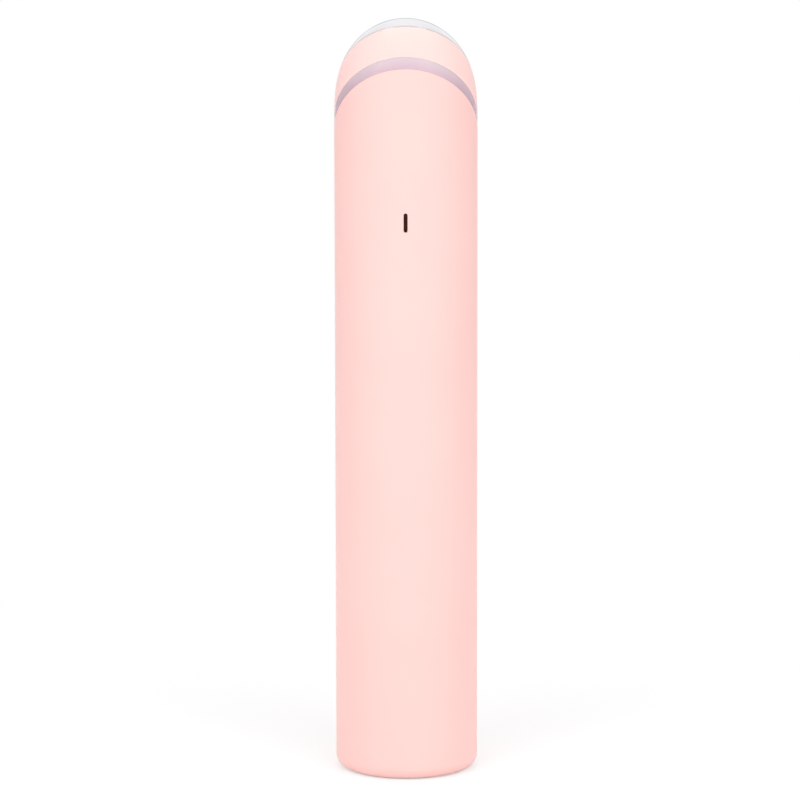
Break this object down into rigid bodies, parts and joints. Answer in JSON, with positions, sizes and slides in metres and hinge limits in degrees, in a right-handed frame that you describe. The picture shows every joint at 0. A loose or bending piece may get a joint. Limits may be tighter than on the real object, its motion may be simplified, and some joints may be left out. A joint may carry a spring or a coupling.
{
  "type": "facial massager wand",
  "caption": "Slant-headed electric muscle stimulation face wand with a polished two-part electrode head, a light ring, a push button, a vibration motor and a charge port in its base.",
  "frame": {"origin": "centre of the flat base that the wand stands on", "axes": "+Z along the wand from base to head; the electrode face and the push button look towards +Y; the charge light is on the -Y side"},
  "size_m": [0.026, 0.026, 0.1397],
  "materials": {
    "satin_pink": "satin soft-touch paint over moulded plastic",
    "mauve_light_guide": "translucent light guide, softly glossy",
    "polished_metal": "mirror polished",
    "white_plastic": "moulded",
    "frame_plastic": "moulded",
    "silicone": "smooth silicone",
    "circuit_board": "solder mask",
    "lamp_epoxy": "clear cast",
    "steel": "bright",
    "gold_contact": "gold flashed",
    "heavy_brass": "turned",
    "cell_case": "shrink wrapped",
    "foam": "closed-cell foam",
    "black_plastic": "moulded",
    "ferrite": "sintered",
    "smoked_lens": "smoked clear plastic",
    "wire": "insulated"
  },
  "bodies": {
    "housing": {"outer_sleeve": "satin_pink", "light_ring": "mauve_light_guide", "head_shell": "satin_pink", "outer_electrode": "polished_metal", "insulating_ring": "white_plastic", "centre_electrode": "polished_metal", "electrode_carrier": "white_plastic", "head_gasket": "silicone", "ring_light_board": "circuit_board", "ring_leds": "lamp_epoxy", "head_screws": "steel", "centre_contact": "gold_contact", "rim_contact": "gold_contact", "inner_frame": "frame_plastic", "board_cover": "frame_plastic", "battery_cell": "cell_case", "battery_pad": "foam", "main_board": "circuit_board", "board_screws": "steel", "charge_board": "circuit_board", "charge_chip": "black_plastic", "port_shell": "steel", "port_tongue": "black_plastic", "port_seal": "silicone", "pulse_transformer": "ferrite", "controller_chip": "black_plastic", "capacitors": "black_plastic", "switch_body": "black_plastic", "indicator_lens": "smoked_lens", "indicator_board": "circuit_board", "indicator_led": "lamp_epoxy", "motor_case": "steel", "motor_boot": "silicone", "electrode_leads": "wire", "battery_leads": "wire", "board_leads": "wire", "motor_leads": "wire", "light_lead": "wire"},
    "button": {"power_button": "satin_pink", "button_seal": "silicone"},
    "plunger": {"switch_plunger": "frame_plastic"},
    "rotor": {"motor_shaft": "steel", "eccentric_weight": "heavy_brass"}
  },
  "joints": [
    {"name": "button_press", "type": "slide", "parent": "housing", "child": "button", "axis": [0, -1, 0], "range_m": [0, 0.0003], "stiffness_N_per_m": 2000, "springref_m": -0.0004},
    {"name": "plunger_press", "type": "slide", "parent": "housing", "child": "plunger", "axis": [0, -1, 0], "range_m": [0, 0.0003]},
    {"name": "rotor_spin", "type": "hinge", "parent": "housing", "child": "rotor", "pos_m": [0, -0.00446, 0.0913], "axis": [0, 0, 1], "continuous": true}
  ],
  "couplings": [
    {"joint": "plunger_press", "follows": "button_press", "ratio": 1}
  ]
}
